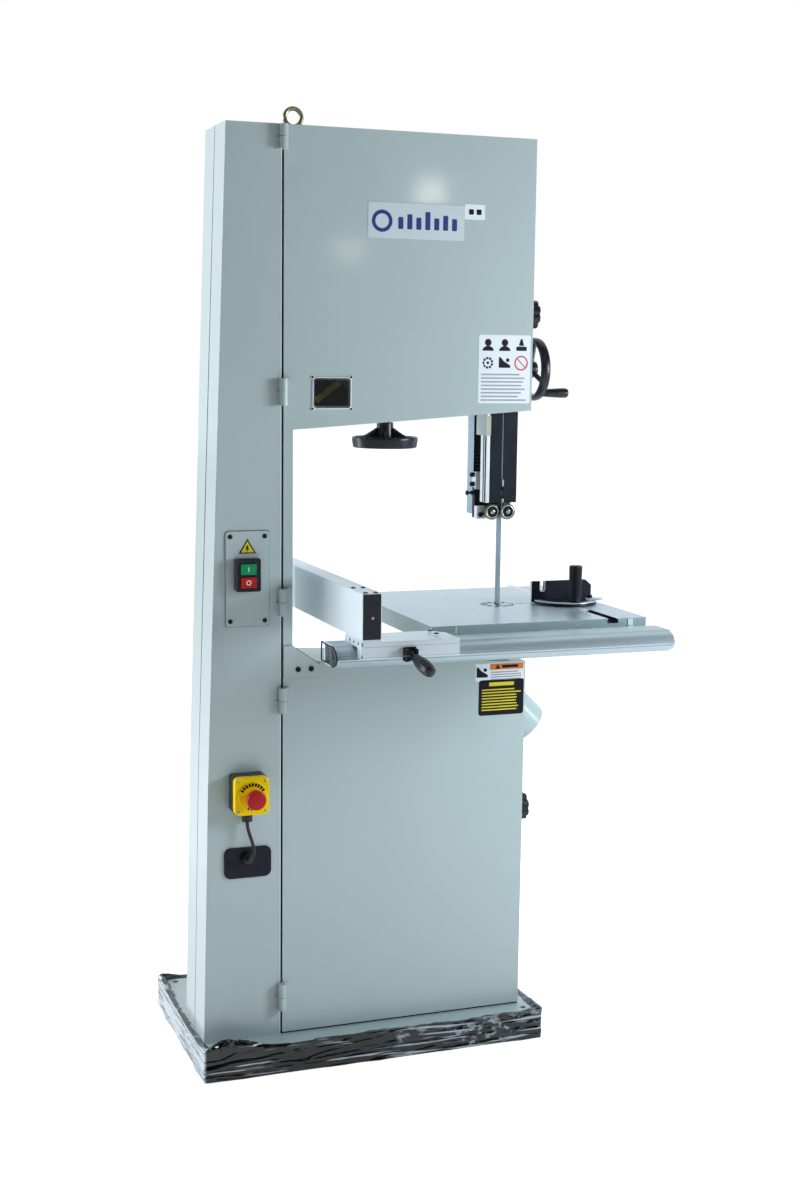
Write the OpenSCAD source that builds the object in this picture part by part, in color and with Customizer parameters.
// Floor-standing band saw: welded C-frame on a wrapped foot frame, two 500 mm band wheels,
// one full-height door, tilting table with fence and miter gauge, belt-driven lower wheel.
// All shapes are placed in a saw frame: X = 0 on the door's hinge line, +X to the right,
// Y = 0 on the door's front face, +Y to the rear, Z = 0 on top of the foot frame.

/* [Casing] */
// Height of the casing above the foot frame
case_h = 1870; // [1860:1:1890]
// Right side of both wheel boxes, from the hinge line
case_x1 = 547; // [545:1:550]
// Depth of the casing, front face to back face
case_d = 165; // [165:1:170]
// Seam between the front and rear shells
seam_y = 85; // [85:1:86]
// Thickness of the casing's plate
wall = 4; // [3:1:4]
// Right side of the column, the throat's left edge
throat_x = 23; // [22:1:24]
// Depth of the door pan
door_d = 30; // [26:1:30]
// Thickness of the door's sheet
sheet = 3; // [2:1:3]

/* [Foot frame] */
// Width of the foot frame
foot_w = 754; // [750:1:760]
// Depth of the foot frame
foot_d = 450; // [446:1:460]
// Height of the foot frame
foot_h = 62; // [60:1:64]
// Radius of the four anchor holes
anchor_r = 7; // [5:0.5:8]

/* [Wheels and blade] */
// Radius of both band wheels at the blade
wheel_r = 250; // [249:0.5:250]
// X of both wheel centres
wheel_x = 256; // [256]
// Height of the upper wheel's centre
upper_z = 1580; // [1576:1:1584]
// Height of the lower wheel's centre
lower_z = 490; // [486:1:494]
// Width of the blade
blade_w = 25; // [20:1:25]
// Thickness of the blade
blade_t = 0.9; // [0.6:0.1:0.9]
// Front of the wheel rims
rim_y = 51; // [50:1:52]
// Width of the wheel rims
rim_w = 28; // [26:1:29]

/* [Table] */
// Height of the table top
table_z = 890; // [888:1:892]
// Thickness of the table
table_t = 36; // [30:1:36]
// Width of the table
table_w = 481; // [470:1:490]
// Depth of the table
table_d = 504; // [490:1:510]
// Left edge of the table
table_x0 = 256; // [254:1:258]
// Front edge of the table
table_y0 = -184; // [-186:1:-182]
// X of the miter slot
slot_x = 659; // [655:1:662]
// Radius of the round insert
insert_r = 35; // [33:1:36]

/* [Fence] */
// Height of the fence
fence_h = 90; // [80:1:92]
// Width of the fence
fence_w = 39; // [36:1:40]
// Left side of the parked fence
fence_x = 66; // [66:1:70]
// Length of the fence
fence_l = 600; // [560:5:600]

/* [Controls] */
// Radius of the tension handwheel's rim
tension_r = 70; // [66:1:70]
// Radius of the guide handwheel's rim
crank_r = 67.5; // [64:0.5:68]
// Radius of the two latch knobs
knob_r = 30; // [26:1:30]
// Radius of the guide rollers
roller_r = 17.5; // [16:0.5:17.5]

/* [Hidden] */
$fn = 96;
eps = 1;                       // overshoot of a cut past a face
run = 0.05;                    // radial running clearance of a turning pair
slide_gap = 0.2;               // clearance between sliding faces
foot_x0 = -176;                // left side of the foot frame
foot_y0 = -55;                 // front of the foot frame
gap_x = -2;                    // right side of the column's front plate
door_x0 = 3;                   // left edge of the door
door_foot = 4;                 // gap between the door and the foot frame
upper_lip = [1273, 1312];      // lower edge of the upper box at the throat and at the right
lower_lip = [801, 774];        // top edge of the lower box at the throat and at the right
blade_x = wheel_x + wheel_r;   // middle of the working run
blade_y = rim_y + rim_w / 2 + 0.5; // middle of the blade's width
under_z = table_z - table_t;   // underside of the table
post = [461, 105, 29, 35];     // guide post: left side, front, width, depth
post_z = [1085, 1640];         // bottom and top of the guide post
guide_z = 1093;                // height of the upper rollers
lower_guide_z = 796;           // height of the lower rollers
roller_off = roller_r + blade_t / 2 + 0.1; // roller centre to blade centre
screw_y = 104;                 // tension screw, behind the wheel
crank = [88, 1398];            // Y and Z of the guide handwheel's shaft
latch_y = 62;                  // Y of both latch studs
latch_z = [1514, 435];         // heights of the latch studs
hinge_y = -9.2;                // hinge axis, in front of the door
fork_x = case_x1 - 14;         // inner side of the door's latch forks
hinge_spans = [[1821, 1869], [1322, 1376], [896, 952], [694, 747], [57, 114]];
trunnion_r = 90;               // radius of the tilting arcs
trunnion_y = [93, 142];        // front faces of the two arcs
trunnion_t = 16;               // thickness of an arc
rail_y = [-290, -205];         // front and back of the fence rail
rail_z = [832, 875];           // bottom and top of the fence rail
carriage_x = [64, 264];        // fence carriage: left and right side
carriage_y = [-315, -215];     // front and back of the fence carriage
carriage_z = [855, 888];       // bottom of its skirt and its top
fence_z = table_z + 1;         // bottom of the fence
lever_pivot = [161, -324, 864]; // pivot of the fence lock lever
miter_y = 48;                  // miter head's pivot
pulley_y = [87, 111];          // drive belt's plane
motor_at = [390, 185];         // X and Z of the motor
drive_r = 110;                 // pulley on the lower wheel
motor_r = 45;                  // pulley on the motor
belt_t = 6;                    // thickness of the belt
estop = [-75.5, 535];          // X and Z of the emergency stop
switch_x = -72.5;              // X of the switch plate's middle
gland_plate = [-72.5, 383];    // X and Z of the cable plate's middle
bar = [462, 35, 7, 34];        // guard's side bar: left side, front, width, depth

PAINT = "#AFC0C4";
STEEL = "#9AA3A8";
BLACK = "#15181C";
CASTING = "#C3CACB";
YELLOW = "#F5C518";

// Moves a shape from the saw frame to the part's own frame, centred on the foot frame
module saw() translate([-foot_x0 - foot_w / 2, -foot_y0 - foot_d / 2, foot_h]) children();

// A flat XZ outline given thickness from y0 to y1
module upright(y0, y1) translate([0, y1, 0]) rotate([90, 0, 0]) linear_extrude(y1 - y0) children();

module block(x, y, z) translate([x[0], y[0], z[0]]) cube([x[1] - x[0], y[1] - y[0], z[1] - z[0]]);

module along_x(y, z, x, r) translate([x[0], y, z]) rotate([0, 90, 0]) cylinder(h = x[1] - x[0], r = r);

module along_y(x, z, y, r) translate([x, y[1], z]) rotate([90, 0, 0]) cylinder(h = y[1] - y[0], r = r);

module along_z(x, y, z, r) translate([x, y, z[0]]) cylinder(h = z[1] - z[0], r = r);

// A plain rectangle with round corners, from its lower left corner
module rounded(w, h, r) {
    translate([r, 0]) square([w - 2 * r, h]);
    translate([0, r]) square([w, h - 2 * r]);
    for (x = [r, w - r], y = [r, h - r]) translate([x, y]) circle(r);
}

// Height of the lower box's sloping top at x
function lower_top(x) = lower_lip[0] + (lower_lip[1] - lower_lip[0]) * (x - throat_x) / (case_x1 - throat_x);

// The C outline right of x0, drawn in by w
function boxes_outline(x0, w) = [
    [x0 + w, w], [x0 + w, case_h - w], [case_x1 - w, case_h - w], [case_x1 - w, upper_lip[1] + w],
    [throat_x - w, upper_lip[0] + w], [throat_x - w, lower_lip[0] - w],
    [case_x1 - w, lower_lip[1] - w], [case_x1 - w, w]];

// The column's left edge, wider towards the floor, drawn in by w
function column_edge(w) = [[-115 + w, case_h - w], [-138 + w, 1134], [-155 + w, 563], [-166 + w, w]];

// The whole frame's outline, drawn in by w
function frame_outline(w) = concat(column_edge(w), [for (i = [7, 6, 5, 4, 3, 2]) boxes_outline(gap_x, w)[i]]);

module base_frame() color(PAINT) saw() {
    rail = 60;   // width of each side member
    top = 6;     // thickness of the plates
    x1 = foot_x0 + foot_w;
    y1 = foot_y0 + foot_d;
    difference() {
        block([foot_x0, x1], [foot_y0, y1], [-foot_h, 0]);
        block([foot_x0 + top, x1 - top], [foot_y0 + top, y1 - top], [-foot_h + top, -top]);
        block([foot_x0 + rail, x1 - rail], [foot_y0 + rail, y1 - rail], [-foot_h - eps, -top]);
        for (x = [foot_x0 + 30, x1 - 30], y = [foot_y0 + 30, y1 - 30])
            along_z(x, y, [-foot_h - eps, eps], anchor_r);
    }
}

module base_wrap() color("#0B0C0E") saw() {
    film = 2.5;  // thickness of the wound film
    difference() {
        block([foot_x0 - film, foot_x0 + foot_w + film], [foot_y0 - film, foot_y0 + foot_d + film], [1 - foot_h, -1]);
        block([foot_x0, foot_x0 + foot_w], [foot_y0, foot_y0 + foot_d], [-foot_h, 0]);
    }
}

module side_holes() {
    along_x(crank[0], crank[1], [case_x1 - wall - eps, case_x1 + eps], 12);
    for (z = latch_z) along_x(latch_y, z, [case_x1 - wall - eps, case_x1 + eps], 5.1);
    dust_axis() translate([0, 0, -55]) cylinder(h = 115, r = 47);
}

module front_shell() color(PAINT) saw() {
    door_gap = 1;
    difference() {
        union() {
            upright(0, seam_y) polygon(concat(column_edge(0), [[gap_x, 0], [gap_x, case_h]]));
            upright(door_d + door_gap, seam_y) polygon(boxes_outline(gap_x, 0));
        }
        upright(wall, seam_y + eps)
            polygon(concat(column_edge(wall), [[gap_x - wall, wall], [gap_x - wall, case_h - wall]]));
        upright(door_d, seam_y + eps) polygon(boxes_outline(gap_x, wall));
        block([458, 540], [door_d, seam_y + eps], [1290, 1325]);
        block([blade_x - 10, blade_x + 10], [45, seam_y + eps], [760, 790]);
        side_holes();
    }
    guard_sleeve();
}

// Fixed channel under the upper box that the guard's side bar slides in
module guard_sleeve() {
    block([458, 461], [31.5, seam_y], [1258, 1330]);
    block([458, 469], [31.5, 34], [1258, 1300]);
}

module rear_shell() color(PAINT) saw() difference() {
    upright(seam_y, case_d) polygon(frame_outline(0));
    upright(seam_y - eps, case_d - wall) polygon(frame_outline(wall));
    block([455, 540], [seam_y - eps, 150], [1290, 1325]);
    along_z(wheel_x, screw_y, [1270, 1310], 12);
    along_y(motor_at[0], motor_at[1], [case_d - wall - eps, case_d + eps], 30);
    side_holes();
}

module eyebolt() color("#C9B037") saw() translate([42, 72, case_h]) {
    along_z(0, 0, [0, 6], 11);
    translate([0, 0, 23]) rotate([90, 0, 0]) rotate_extrude() translate([17.5, 0]) circle(4.5, $fn = 32);
    along_z(0, 0, [5, 3 + 4], 6);
}

// The dust port leaves the right side downwards at 45 degrees
module dust_axis() translate([case_x1, 97, 655]) rotate([0, 135, 0]) children();

module dust_port() color("#C6CFD1") saw() intersection() {
    dust_axis() difference() {
        translate([0, 0, -80]) cylinder(h = 144, r = 52);
        translate([0, 0, -90]) cylinder(h = 200, r = 50);
    }
    block([case_x1, case_x1 + 200], [0, 300], [400, 800]);
}

module hinge_leaves() color(PAINT) saw() for (s = hinge_spans) {
    mid = (s[0] + s[1]) / 2;
    along_z(0, hinge_y, [s[0], mid - 0.5], 8.5);
    block([-14, 0], [-2.5, 0], [s[0], mid - 0.5]);
    along_z(0, hinge_y, [mid - 1, s[1] - 3], 5);
}

module switch_plate() color(PAINT) saw() upright(-3, 0) translate([switch_x - 45.5, 877]) rounded(91, 194, 8);

module button_pocket(z, h) block([switch_x - 20, switch_x + 13], [-23, -10], [z, z + h]);

module switch_body() color(BLACK) saw() difference() {
    upright(-22, -3) translate([switch_x - 28, 950]) rounded(51, 67, 4);
    button_pocket(985, 22);
    button_pocket(958, 22);
}

module button(z, h) block([switch_x - 19.7, switch_x + 12.7], [-26, -14], [z + 0.3, z + h - 0.3]);

module start_button() color("#009650") saw() button(985, 22);

module stop_button() color("#A52332") saw() button(958, 22);

module estop_box() color(BLACK) saw() difference() {
    union() {
        upright(-32, 0) translate([estop[0] - 36, estop[1] - 39]) rounded(72, 78, 7);
        along_z(estop[0] - 2, -16, [estop[1] - 60, estop[1] - 39], 11);
    }
    along_y(estop[0], estop[1], [-33, -12], 14);
}

module estop_cover() color(YELLOW) saw() difference() {
    union() {
        upright(-50, -32) translate([estop[0] - 36, estop[1] - 39]) rounded(72, 78, 10);
        along_y(estop[0], estop[1], [-54, -49], 30);
    }
    along_y(estop[0], estop[1], [-55, -31], 11 + run);
}

module estop_button() color("#A52332") saw() {
    along_y(estop[0], estop[1], [-90, -64], 20);
    along_y(estop[0], estop[1], [-65, -24], 11);
}

module cable() color(BLACK) saw() {
    upright(-4, 0) translate([gland_plate[0] - 50, gland_plate[1] - 32.5]) rounded(100, 65, 14);
    along_y(gland_plate[0] - 4, gland_plate[1] + 8, [-26, -3], 14);
    along_z(estop[0] - 2, -16, [gland_plate[1] + 12, estop[1] - 60], 3.5);
}

module screw_head(x, z, y, r) along_y(x, z, [y - 2, y], r);

module casing_screws() color(STEEL) saw() {
    for (x = [-1, 1], z = [-1, 1]) {
        screw_head(switch_x + x * 36, 974 + z * 86, -3, 3.5);
        screw_head(estop[0] + x * 29, estop[1] + z * 32, -50, 3);
    }
    for (x = [-1, 1]) screw_head(gland_plate[0] + x * 40, gland_plate[1], -4, 3.5);
    for (x = [478, 497]) along_z(x, 60, [case_h, case_h + 3], 5);
}

module bearing_housing() color(CASTING) saw() difference() {
    union() {
        along_y(wheel_x, lower_z, [116, case_d - wall], 50);
        along_y(wheel_x, lower_z, [149, case_d - wall], 80);
    }
    along_y(wheel_x, lower_z, [115, case_d], 15 + run);
}

module motor() color("#5C666C") saw() difference() {
    union() {
        along_y(motor_at[0], motor_at[1], [case_d, case_d + 12], 100);
        along_y(motor_at[0], motor_at[1], [case_d + 11, case_d + 200], 84);
        for (a = [0:15:345])
            translate([motor_at[0], case_d + 11, motor_at[1]]) rotate([0, a, 0])
                translate([-1.5, 0, 80]) cube([3, 150, 13]);
        along_y(motor_at[0], motor_at[1], [case_d + 185, case_d + 228], 93);
        block([motor_at[0] - 45, motor_at[0] + 45], [case_d + 50, case_d + 140], [motor_at[1] + 80, motor_at[1] + 125]);
    }
    along_y(motor_at[0], motor_at[1], [case_d - eps, case_d + 20], 12 + run);
}

module belt_outline(grow) hull() {
    translate([wheel_x, lower_z]) circle(drive_r + grow);
    translate([motor_at[0], motor_at[1]]) circle(motor_r + grow);
}

module drive_belt() color(BLACK) saw() upright(pulley_y[0] + 2, pulley_y[1] - 2) difference() {
    belt_outline(0.5 + belt_t);
    belt_outline(0.5);
}

// Half of the blade's loop, over the wheel at height z; up is 1 or -1
module blade_bend(z, up) translate([wheel_x, blade_y + blade_w / 2, z]) rotate([90, 0, 0])
    rotate([0, 0, up > 0 ? 0 : 180]) rotate_extrude(angle = 180) translate([wheel_r - blade_t / 2, 0])
        square([blade_t, blade_w]);

module blade() color("#6F8796") saw() {
    y = [blade_y - blade_w / 2, blade_y + blade_w / 2];
    blade_bend(upper_z, 1);
    blade_bend(lower_z, -1);
    for (x = [wheel_x - wheel_r, wheel_x + wheel_r])
        block([x - blade_t / 2, x + blade_t / 2], y, [lower_z, upper_z]);
}

// Saddle on the lower box that the table's arcs turn in
module trunnion_base() color(CASTING) saw() {
    left = blade_x - 65;
    right = blade_x + 40;
    for (y = trunnion_y) upright(y, y + trunnion_t) difference() {
        polygon([[left, lower_top(left)], [right, lower_top(right)], [right, table_z - 78], [left, table_z - 60]]);
        translate([blade_x, table_z]) circle(trunnion_r + run);
    }
    upright(trunnion_y[0] + 1, trunnion_y[1] + 1)
        polygon([[left, lower_top(left)], [right, lower_top(right)], [right, lower_top(right) + 8], [left, lower_top(left) + 8]]);
}

module trunnion_arcs() color(CASTING) saw() {
    for (y = trunnion_y) upright(y, y + trunnion_t) intersection() {
        translate([blade_x, table_z]) circle(trunnion_r);
        translate([blade_x - trunnion_r, under_z - 80]) square([2 * trunnion_r, 80]);
    }
    block([blade_x - 60, blade_x + 60], [trunnion_y[0] + 1, trunnion_y[1] + 1], [under_z - 14, under_z]);
}

module lower_guide_block() color(CASTING) saw() {
    upright(85, 92) polygon([[474, lower_top(474) + run], [538, lower_top(538) + run], [538, 808], [474, 808]]);
    for (s = [-1, 1]) along_y(blade_x + s * roller_off, lower_guide_z, [56, 86], 5);
}

module roller(x, z, y) difference() {
    along_y(x, z, y, roller_r);
    along_y(x, z, [y[0] - eps, y[1] + eps], 5 + run);
}

module lower_roller_left() color("#8A7A4A") saw() roller(blade_x - roller_off, lower_guide_z, [59, 72]);

module lower_roller_right() color("#8A7A4A") saw() roller(blade_x + roller_off, lower_guide_z, [59, 72]);

module upper_roller_left() color("#8A7A4A") saw() roller(blade_x - roller_off, guide_z, [59, 72]);

module upper_roller_right() color("#8A7A4A") saw() roller(blade_x + roller_off, guide_z, [59, 72]);

module thrust_roller() color(STEEL) saw() roller(blade_x + 12, guide_z + 34, [blade_y + blade_w / 2 + 0.3, 88]);

// Guides of the post and of the upper wheel's carrier, all fixed to the back plate
module upper_brackets() color(CASTING) saw() {
    back = case_d - wall;
    for (z = [[1330, 1376], [1422, 1456]]) difference() {
        block([445, 506], [96, back], z);
        block([post[0] - slide_gap, post[0] + post[2] + slide_gap], [post[1] - slide_gap, post[1] + post[3] + slide_gap],
            [z[0] - eps, z[1] + eps]);
    }
    for (x = [[198, 215], [297, 314]]) block(x, [89, back], [1440, 1720]);
    difference() {
        block([214, 298], [89, back], [1440, 1450]);
        along_z(wheel_x, screw_y, [1439, 1451], 10 + run);
    }
    difference() {
        along_x(crank[0], crank[1], [case_x1, case_x1 + 8], 28);
        along_x(crank[0], crank[1], [case_x1 - eps, case_x1 + 9], 9 + run);
    }
}

module door() color(PAINT) saw() {
    difference() {
        upright(0, door_d) polygon(boxes_outline(door_x0, 0));
        upright(sheet, door_d + eps) polygon(boxes_outline(door_x0, sheet));
        upright(-eps, door_d + eps) translate([door_x0 - eps, -eps]) square([case_x1, door_foot + eps]);
        upright(-eps, sheet + eps) translate([68, 1321]) rounded(72, 52, 6);
    }
    block([door_x0, case_x1], [0, door_d], [door_foot, door_foot + sheet]);
    for (z = latch_z) difference() { // forks that close over the latch studs
        union() {
            block([fork_x, fork_x + 2], [12, latch_y + 12], [z - 14, z + 14]);
            block([fork_x, case_x1 - sheet], [12, door_d - 2], [z - 14, z + 14]);
        }
        block([fork_x - eps, fork_x + 3], [latch_y, latch_y + 13], [z - 6, z + 6]);
        along_x(latch_y, z, [fork_x - eps, fork_x + 3], 6);
    }
}

module door_window() color("#20242A") saw() upright(-2, 0) translate([63, 1316]) rounded(82, 62, 8);

module door_knuckles() color(PAINT) saw() for (s = hinge_spans) {
    mid = (s[0] + s[1]) / 2;
    difference() {
        union() {
            along_z(0, hinge_y, [mid + 0.5, s[1]], 8.8);
            block([0, 17], [-2.5, 0], [mid + 0.5, s[1]]);
        }
        along_z(0, hinge_y, [mid, s[1] - 3 + slide_gap], 5 + run);
    }
}

module gusset_plate() color(PAINT) saw() difference() {
    upright(-4, 0) polygon([[door_x0, 765], [81, 765], [81, 792], [70, 799], [20, 833], [door_x0, 833]]);
    for (x = [34, 62]) along_y(x, 783, [-5, 1], 5);
}

module latch_knob(z) {
    difference() {
        along_x(latch_y, z, [case_x1 + 4, case_x1 + 32], knob_r);
        for (a = [0:45:315])
            translate([0, latch_y, z]) rotate([a, 0, 0]) along_x(0, knob_r + 3, [case_x1 + 10, case_x1 + 40], 7);
    }
    along_x(latch_y, z, [case_x1, case_x1 + 5], 11);
    along_x(latch_y, z, [fork_x - 13, case_x1 + 5], 5);
    along_x(latch_y, z, [fork_x - 13, fork_x - 6], 11);
}

module upper_latch_knob() color(BLACK) saw() latch_knob(latch_z[0]);

module lower_latch_knob() color(BLACK) saw() latch_knob(latch_z[1]);

// A cast band wheel: rim, pierced web and hub, at height z with a bore for its axle
module band_wheel(z, bore) {
    seat = wheel_r - blade_t / 2 - 5.1; // the tyre's inner radius
    difference() {
        along_y(wheel_x, z, [rim_y, rim_y + rim_w], seat);
        along_y(wheel_x, z, [rim_y - eps, rim_y + 8], seat - 20);
        along_y(wheel_x, z, [rim_y + rim_w - 8, rim_y + rim_w + eps], seat - 20);
        for (a = [0:60:300])
            translate([wheel_x, 0, z]) rotate([0, a, 0]) along_y(138, 0, [rim_y - eps, rim_y + rim_w + eps], 52);
        along_y(wheel_x, z, [rim_y - eps, rim_y + rim_w + eps], bore);
    }
    difference() {
        along_y(wheel_x, z, [rim_y - 3, rim_y + rim_w + 5], 42);
        along_y(wheel_x, z, [rim_y - 4, rim_y + rim_w + 6], bore);
    }
}

module tyre(z) difference() {
    along_y(wheel_x, z, [rim_y + 0.5, rim_y + rim_w - 0.5], wheel_r - blade_t / 2 - 0.1);
    along_y(wheel_x, z, [rim_y - eps, rim_y + rim_w + eps], wheel_r - blade_t / 2 - 5.1);
}

module lower_wheel() color(CASTING) saw() band_wheel(lower_z, 15);

module lower_tyre() color(BLACK) saw() tyre(lower_z);

module upper_wheel() color(CASTING) saw() band_wheel(upper_z, 12.5 + run);

module upper_tyre() color(BLACK) saw() tyre(upper_z);

// The driven pulley and the lower wheel's shaft, keyed together
module drive_pulley() color(CASTING) saw() {
    difference() {
        along_y(wheel_x, lower_z, pulley_y, drive_r);
        for (a = [0:60:300])
            translate([wheel_x, 0, lower_z]) rotate([0, a, 0])
                along_y(62, 0, [pulley_y[0] - eps, pulley_y[1] + eps], 24);
    }
    along_y(wheel_x, lower_z, [44, case_d - wall - 2], 15);
}

module motor_pulley() color(STEEL) saw() {
    along_y(motor_at[0], motor_at[1], pulley_y, motor_r);
    along_y(motor_at[0], motor_at[1], [pulley_y[0] - 6, case_d + 18], 12);
}

module wheel_carrier() color(CASTING) saw() {
    difference() {
        block([215.5, 296.5], [89, 128], [1500, 1664]);
        along_z(wheel_x, screw_y, [1499, 1548], 10.5);
    }
    along_y(wheel_x, upper_z, [46, 90], 12.5);
}

module tension_screw() color(STEEL) saw() along_z(wheel_x, screw_y, [1284, 1530], 10);

module tension_spring() color(STEEL) saw() difference() {
    along_z(wheel_x, screw_y, [1450, 1500], 14.8);
    for (z = [1456:8:1490]) difference() {
        along_z(wheel_x, screw_y, [z, z + 3], 16);
        along_z(wheel_x, screw_y, [z - 1, z + 4], 13);
    }
    along_z(wheel_x, screw_y, [1449, 1501], 11);
}

module tension_handwheel() color(BLACK) saw() translate([wheel_x, screw_y, 0]) {
    rotate_extrude() polygon([[tension_r - 12, 1234], [tension_r - 7, 1230], [tension_r, 1250],
        [tension_r - 3, 1254], [tension_r - 9, 1252]]);
    along_z(0, 0, [1240, 1284], 19);
    for (a = [0:120:240]) rotate([0, 0, a + 30]) along_x(0, 1247, [15, tension_r - 8], 6);
}

// Steel post with a toothed rack cut in its front face
module guide_post() color(STEEL) saw() difference() {
    pitch = 7.85;
    block([post[0], post[0] + post[2]], [post[1], post[1] + post[3]], post_z);
    for (i = [0:59])
        block([post[0] + 5, post[0] + 25], [post[1] - eps, post[1] + 3],
            [post_z[0] + 60 + i * pitch, post_z[0] + 60 + i * pitch + pitch / 2]);
}

module guide_block() color(CASTING) saw() {
    front = post[1];
    block([459, 544], [92, front], [1078, 1145]);
    block([459, 478], [88, front], [1140, 1177]);
    block([462, 469], [bar[1] + bar[3], 93], [1120, 1140]);
    for (z = [1132, 1151, 1171]) along_x(97, z, [449, 460], 4.5);
    for (s = [-1, 1]) along_y(blade_x + s * roller_off, guide_z, [56, 93], 5);
    along_y(blade_x + 12, guide_z + 34, [blade_y + blade_w / 2 + 0.8, 93], 5);
    guard_bar();
}

// Grooved bar that carries the blade guard and slides in the fixed channel
module guard_bar() difference() {
    block([bar[0], bar[0] + bar[2]], [bar[1], bar[1] + bar[3]], [1115, 1285]);
    for (y = [44, 55]) block([bar[0] - eps, bar[0] + 2], [y, y + 5], [1114, 1286]);
}

module blade_guard() color(BLACK) saw() {
    block([469, 497], [35, 38], [1115, 1540]);
    block([500, 532.5], [35, 38], [1115, 1540]);
    for (z = [1140, 1500]) block([485, 515], [38, 40], [z, z + 25]);
}

module guide_handwheel() color(BLACK) saw() translate([0, crank[0], crank[1]]) {
    rotate([0, 90, 0]) rotate_extrude() polygon([[crank_r - 12, 588], [crank_r - 6, 584], [crank_r, 592],
        [crank_r - 1, 600], [crank_r - 10, 600]]);
    along_x(0, 0, [case_x1 + 12, 596], 18);
    for (a = [0:120:240]) rotate([a + 90, 0, 0]) along_z(591, 0, [14, crank_r - 9], 5.5);
    along_x(0, 0, [465, case_x1 + 13], 9);
    along_x(0, 0, [466, 486], 16);
}

module crank_grip() color(BLACK) saw() along_x(crank[0] - 33, crank[1] - 50, [602, 657], 10.5);

module table() color(CASTING) saw() {
    rib = 8;    // thickness of the table's top
    x1 = table_x0 + table_w;
    y1 = table_y0 + table_d;
    difference() {
        block([table_x0, x1], [table_y0, y1], [under_z, table_z]);
        block([table_x0 + 14, blade_x - 70], [table_y0 + 14, y1 - 14], [under_z - eps, table_z - 14]);
        block([blade_x + 70, slot_x - 22], [table_y0 + 14, y1 - 14], [under_z - eps, table_z - 14]);
        along_z(blade_x, blade_y, [table_z - 6, table_z + eps], insert_r + run);
        along_z(blade_x, blade_y, [under_z - eps, table_z], insert_r - 5);
        block([blade_x, x1 + eps], [blade_y - 2, blade_y + 2], [under_z - eps, table_z + eps]);
        block([slot_x - 9.5, slot_x + 9.5], [table_y0 - eps, y1 + eps], [table_z - 10, table_z + eps]);
        block([slot_x - 12.5, slot_x + 12.5], [table_y0 - eps, y1 + eps], [table_z - 10, table_z - 6]);
    }
}

module table_insert() color("#B9BFC2") saw() difference() {
    along_z(blade_x, blade_y, [table_z - 6, table_z], insert_r);
    block([blade_x - 5, blade_x + 5], [blade_y - 18, blade_y + 18], [table_z - 7, table_z + eps]);
    block([blade_x, blade_x + insert_r + eps], [blade_y - 1.5, blade_y + 1.5], [table_z - 7, table_z + eps]);
    for (a = [110:35:250])
        translate([blade_x, blade_y, 0]) rotate([0, 0, a]) along_z(26, 0, [table_z - 7, table_z + eps], 2);
}

// The rail's section in Y and Z, drawn in by w
function rail_section(w) = [
    [rail_y[1] - w, rail_z[0] + w], [rail_y[1] - w, rail_z[1] - w], [-262 + w / 2, rail_z[1] - w],
    [-280 + w, rail_z[1] - 9 - w / 2], [rail_y[0] + w, 851], [-282 + w, 840 + w / 2], [-266, rail_z[0] + w]];

module along_rail(x0, x1) translate([x0, 0, 0]) rotate([90, 0, 90]) linear_extrude(x1 - x0) children();

module fence_rail() color(PAINT) saw() {
    difference() {
        along_rail(27, 747) polygon(rail_section(0));
        along_rail(26, 748) difference() {
            polygon(rail_section(4));
            translate([-246, 800]) square([4, 100]);
        }
    }
    for (x = [300, 500, 700]) along_y(x, 865, [rail_y[1] - 1, table_y0], 8);
}

module fence_carriage() color("#C9D1D3") saw() difference() {
    front = carriage_y[0];
    union() {
        block(carriage_x, carriage_y, [rail_z[1] + slide_gap, carriage_z[1]]);
        block(carriage_x, [front, rail_y[0] - 3], carriage_z);
        block([fence_x, fence_x + fence_w], carriage_y, [carriage_z[1] - 1, fence_z]);
        for (x = [-12, 7.2])
            block([lever_pivot[0] + x, lever_pivot[0] + x + 4.8], [lever_pivot[1] - 10, front], [854, 874]);
    }
    translate([carriage_x[1], carriage_y[1], 0]) rotate([0, 0, 45])
        translate([-20, -16, rail_z[1]]) cube([40, 40, 20]);
}

module fence() color("#D5DADD") saw() {
    skin = 3;                           // thickness of the tube's walls and its middle web
    middle = fence_z + fence_h * 0.42;  // height of the web
    inside = [fence_x + skin, fence_x + fence_w - skin];
    y = [carriage_y[0], carriage_y[0] + fence_l];
    difference() {
        block([fence_x, fence_x + fence_w], y, [fence_z, fence_z + fence_h]);
        block(inside, [y[0] - eps, y[1] + eps], [fence_z + skin, middle]);
        block(inside, [y[0] - eps, y[1] + eps], [middle + skin, fence_z + fence_h - skin]);
    }
}

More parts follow.
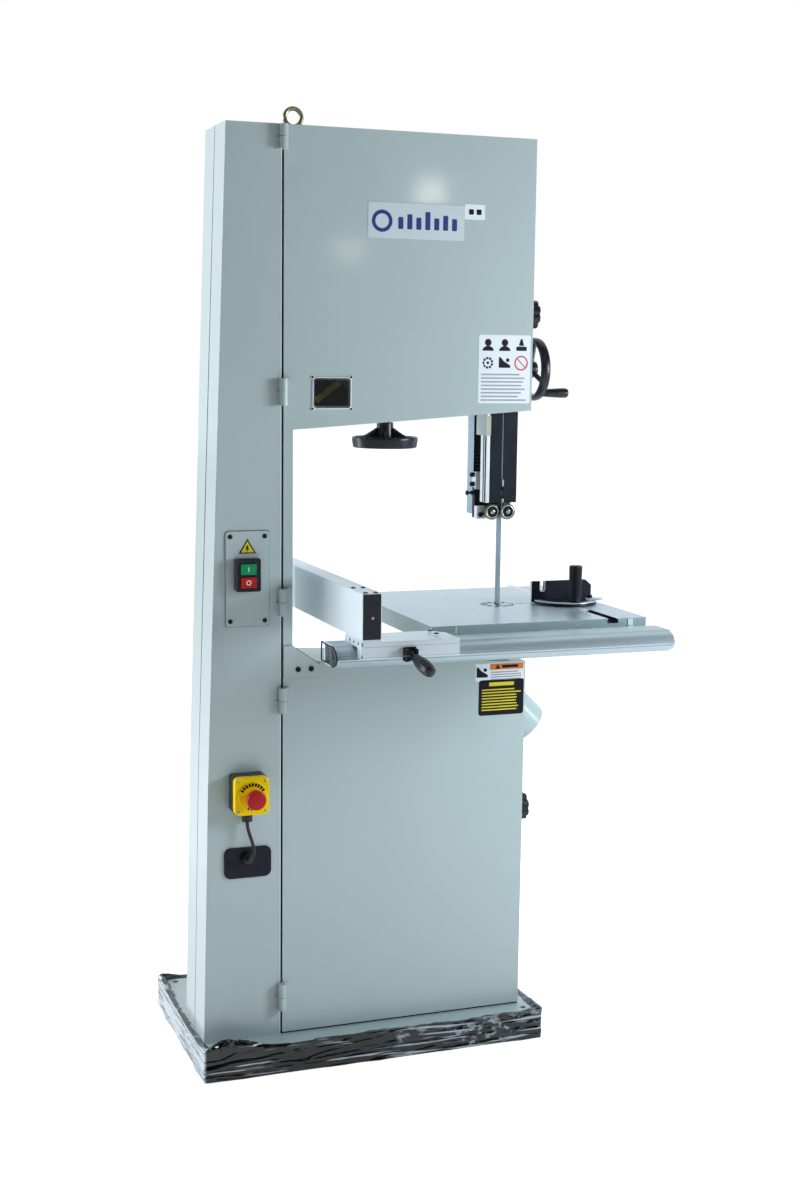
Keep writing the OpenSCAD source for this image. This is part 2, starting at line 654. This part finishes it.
module fence_lever() color(BLACK) saw() translate(lever_pivot) {
    along_x(0, 0, [-7, 7], 7);
    rotate([0, 0, 7]) rotate([105, 0, 0]) {
        along_z(0, 0, [4, 20], 5);
        along_z(0, 0, [18, 84], 13);
    }
}

module miter_bar() color(STEEL) saw()
    block([slot_x - 9.3, slot_x + 9.3], [-60, 345], [table_z - 9.5, table_z - 0.2]);

module miter_head() color(BLACK) saw() {
    base = [table_z + 0.4, table_z + 9]; // bottom and top of the protractor plate
    difference() {
        along_z(slot_x, miter_y, base, 70);
        block([slot_x - 80, slot_x + 80], [miter_y + 12, miter_y + 90], [table_z, table_z + 20]);
        along_z(slot_x, miter_y - 53, [table_z, table_z + 10], 4 + run);
    }
    upright(miter_y + 12, miter_y + 20)
        polygon([[585, table_z + 2], [730, table_z + 2], [730, table_z + 36], [716, table_z + 48], [585, table_z + 48]]);
}

module miter_handle() color(BLACK) saw() {
    along_z(slot_x, miter_y - 53, [table_z + 10, table_z + 89], 14);
    along_z(slot_x, miter_y - 53, [table_z + 1, table_z + 11], 4);
}

module tilt_lever() color(BLACK) saw() translate([458, 0, 796]) {
    arm_y = case_d + 17;
    along_y(0, 0, [trunnion_y[1] + trunnion_t, arm_y + 7], 8);
    rotate([0, 205, 0]) {
        along_z(0, arm_y, [0, 84], 5);
        translate([0, arm_y, 92]) sphere(13);
    }
}

base_frame();
base_wrap();
front_shell();
rear_shell();
eyebolt();
dust_port();
hinge_leaves();
switch_plate();
switch_body();
estop_box();
estop_cover();
cable();
casing_screws();
bearing_housing();
motor();
drive_belt();
blade();
trunnion_base();
lower_guide_block();
upper_brackets();
door();
door_window();
door_knuckles();
gusset_plate();
upper_latch_knob();
lower_latch_knob();
lower_wheel();
lower_tyre();
drive_pulley();
upper_wheel();
upper_tyre();
wheel_carrier();
tension_handwheel();
tension_screw();
tension_spring();
motor_pulley();
guide_post();
guide_block();
blade_guard();
upper_roller_left();
upper_roller_right();
thrust_roller();
guide_handwheel();
crank_grip();
lower_roller_left();
lower_roller_right();
table();
table_insert();
fence_rail();
trunnion_arcs();
fence_carriage();
fence();
fence_lever();
miter_bar();
miter_head();
miter_handle();
tilt_lever();
start_button();
stop_button();
estop_button();
